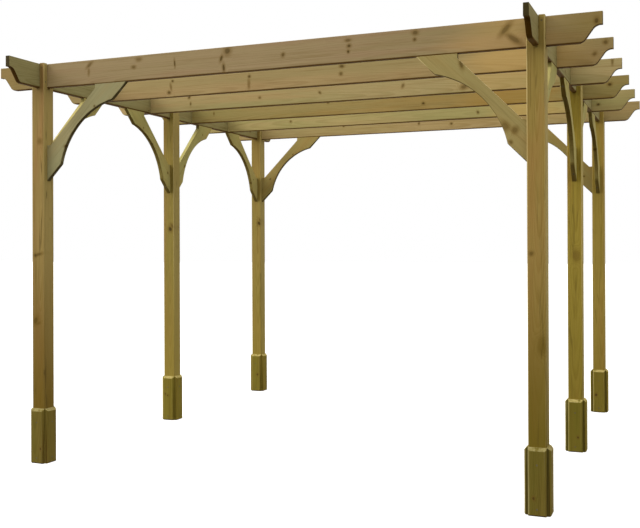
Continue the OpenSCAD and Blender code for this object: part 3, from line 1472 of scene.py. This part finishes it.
# A wood and knots for each rafter, from the front.
RAFTER_WOODS = [
    RAFTER_WOOD.toned(
        "#968460 #766240 #85794e #95795d #71592c", warm_share=0.5, amber_at=3.14, amber_share=0.34,
        soak="#7a6620", soak_share=0.5,
    ),
    RAFTER_WOOD.toned(
        "#a38f62 #816a41 #8d8154 #a5845c #72582f", soak_share=0.35, amber_at=3.1, amber_share=0.45,
    ),
    RAFTER_WOOD.toned(
        "#a49366 #817343 #928b5a #aa865b #72582d", cast_share=0.6, soak_share=0.0, amber_at=2.95,
        amber_share=0.3,
    ),
    RAFTER_WOOD.toned(
        "#968553 #74622e #827d48 #997336 #70552a", amber="#9e7830", amber_at=2.85, amber_share=0.45,
    ),
    RAFTER_WOOD.toned(
        "#a89964 #827543 #8e8b57 #af9068 #71592d", cast_share=0.5, warm_share=0.3, amber_at=2.8,
        amber_share=0.5,
    ),
    RAFTER_WOOD,
]
RAFTER_KNOTS = [
    [
        Knot(665, 116, 7, 2.6, 40, 0.35), Knot(660, 75, 14, 0.35, 0, 0.1), Knot(975, 80, 7, 1.5, 0, 0.4),
        Knot(1010, 122, 8, 1.6, 0, 0.15), Knot(1252, 79, 17, 0.22, 4, 0.75),
        Knot(1592, 122, 16, 1.0, 35, 0.55), Knot(1553, 84, 15, 0.45, -20, 0.7),
        Knot(1568, 30, 18, 0.35, 5, 0.75), Knot(1932, 73, 9, 0.8, -20, 0.5),
        Knot(2308, 118, 6, 2.0, 0, 0.4), Knot(2315, 88, 7, 1.3, 10, 0.7), Knot(2310, 58, 7, 0.8, 0, 0.8),
        Knot(2677, 125, 9, 1.3, 0, 0.45), Knot(2674, 90, 7, 1.0, 0, 0.55),
        Knot(3140, 100, 10, 2.8, 48, 0.35), Knot(3180, 48, 10, 3.4, -36, 0.35),
        Knot(3572, 100, 12, 0.7, 0, 0.6),
    ],
    [
        Knot(874, 103, 6, 1.1, 0, 0.75), Knot(862, 66, 16, 0.3, 10, 0.15), Knot(848, 30, 8, 1.2, -20, 0.6),
        Knot(1428, 92, 7, 1.0, 0, 0.7), Knot(1425, 45, 20, 0.3, 0, 0.1), Knot(2045, 108, 7, 1.6, 0, 0.6),
        Knot(2040, 64, 8, 1.0, 0, 0.4), Knot(3503, 62, 9, 0.8, -50, 0.35), Knot(3560, 120, 9, 1.1, 0, 0.5),
    ],
    [
        Knot(648, 99, 9, 0.8, -45, 0.65), Knot(660, 53, 9, 0.5, 0, 0.6), Knot(1209, 62, 6, 1.2, 0, 0.4),
        Knot(1659, 67, 9, 0.6, 45, 0.5), Knot(2243, 73, 11, 0.6, -20, 0.35),
        Knot(2646, 38, 11, 1.5, 10, 0.4), Knot(3546, 126, 14, 0.35, 0, 0.3),
    ],
    [Knot(520, 70, 9, 0.5, 0, 0.4), Knot(1480, 95, 6, 1.2, 0, 0.5), Knot(2210, 45, 7), Knot(3480, 90, 9)],
    [Knot(910, 60, 7, 1.0, 0, 0.4), Knot(1700, 100, 6), Knot(2469, 45, 9, 0.8, 30, 0.6), Knot(3350, 50, 7)],
    [Knot(1150, 80, 6), Knot(1831, 66, 8, 0.8, 0, 0.6), Knot(2112, 50, 7, 1.2, 0, 0.7), Knot(2900, 96, 7)],
]

# The two front braces stand in full view and have a wood, and the right one knots, of their own. The right
# one's arrises carry a strong painted highlight.
CORNER_BRACE_WOODS = {
    "front_left": BRACE_WOOD.toned("#948e68 #736b40 #878864 #937e52 #645737"),
    "front_right": BRACE_WOOD.toned(
        "#9c8c59 #796936 #8e8655 #9a7c46 #69552e", worn="#f0dcac", worn_share=1.0,
    ),
}
CORNER_BRACE_KNOTS = {
    "front_right": [
        Knot(194, -271, 8, 2.4, 31, 0.5), Knot(-190, -346, 14, 1.2, 0, 0.2),
        Knot(-240, -327, 12, 1.0, 0, 0.25), Knot(-267, -382, 6, 1.2, 0, 0.3),
    ]
}


class Pergola:
    """The whole pergola, built sub-assembly by sub-assembly, each with its own run of seeds."""

    rafter_count: int = 6
    post_seed: int = 100
    foot_seed: int = 200
    side_beam_seed: int = 300
    rafter_seed: int = 400
    brace_seed: int = 500
    screw_seed: int = 600

    def __init__(self) -> None:
        """Find where the rafters and the side beams cross."""
        self.rafters = [f"rafter_{i}" for i in range(1, self.rafter_count + 1)]
        self.rafter_lines = [middle_of(name).y for name in self.rafters]
        self.side_lines = [middle_of(f"{side.value}_side_beam").x for side in Side]

    def posts(self) -> None:
        """Raise the six posts and board their feet."""
        for number, station in enumerate(STATIONS):
            wood, knots, seed = POST_WOODS[number], POST_KNOTS[number], self.post_seed + number
            Post(f"{station.name}_post", Slot.POST, wood, seed, knots, station=station).build()
            wood = replace(FOOT_WOODS[number], recess_share=FOOT_RECESSES[station.side])
            FootBoards(f"{station.name}_foot_boards", Slot.FOOT, wood, self.foot_seed + number).build()

    def screws(self) -> None:
        """Drive the screws at each post."""
        for number, station in enumerate(STATIONS):
            Screws(station, ZincPlate(), self.screw_seed + number).build()

    def side_beams(self) -> None:
        """Lay the two side beams through the posts."""
        for number, side in enumerate(Side):
            node, seed = f"{side.value}_side_beam", self.side_beam_seed + number
            Beam(node, Slot.SIDE_BEAM, SIDE_BEAM_WOOD, seed, crossings=self.rafter_lines).build()

    def roof(self) -> None:
        """Drop the rafters over the side beams."""
        for number, node in enumerate(self.rafters):
            wood, knots, seed = RAFTER_WOODS[number], RAFTER_KNOTS[number], self.rafter_seed + number
            Beam(node, Slot.RAFTER, wood, seed, knots, crossings=self.side_lines).build()

    def braces(self) -> None:
        """Fit the braces under the rafters at the corners, then those under the side beams."""
        seed = self.brace_seed
        for row in (Row.FRONT, Row.REAR):
            for side, turn in ((Side.LEFT, 0.0), (Side.RIGHT, 180.0)):
                corner = Station(row, side).name
                wood = CORNER_BRACE_WOODS.get(corner, BRACE_WOOD)
                knots = CORNER_BRACE_KNOTS.get(corner, [])
                node, post = f"{corner}_rafter_brace", f"{corner}_post"
                Brace(node, Slot.BRACE, wood, seed, knots, post=post, turn=turn).build()
                seed += 1
        for side in Side:
            runs = [
                (f"front_{side.value}_side_brace", Row.FRONT, 90.0),
                (f"middle_{side.value}_front_side_brace", Row.MIDDLE, -90.0),
                (f"middle_{side.value}_rear_side_brace", Row.MIDDLE, 90.0),
                (f"rear_{side.value}_side_brace", Row.REAR, -90.0),
            ]
            for node, row, turn in runs:
                post = f"{Station(row, side).name}_post"
                Brace(node, Slot.BRACE, SIDE_BRACE_WOOD, seed, post=post, turn=turn).build()
                seed += 1


def main() -> None:
    """Build the pergola, then the studio around it."""
    logging.basicConfig(level=logging.INFO, format="%(name)s: %(message)s")
    pergola = Pergola()
    for step in (pergola.posts, pergola.side_beams, pergola.roof, pergola.braces, pergola.screws):
        step()
    Studio().build()


if __name__ == "__main__":
    main()
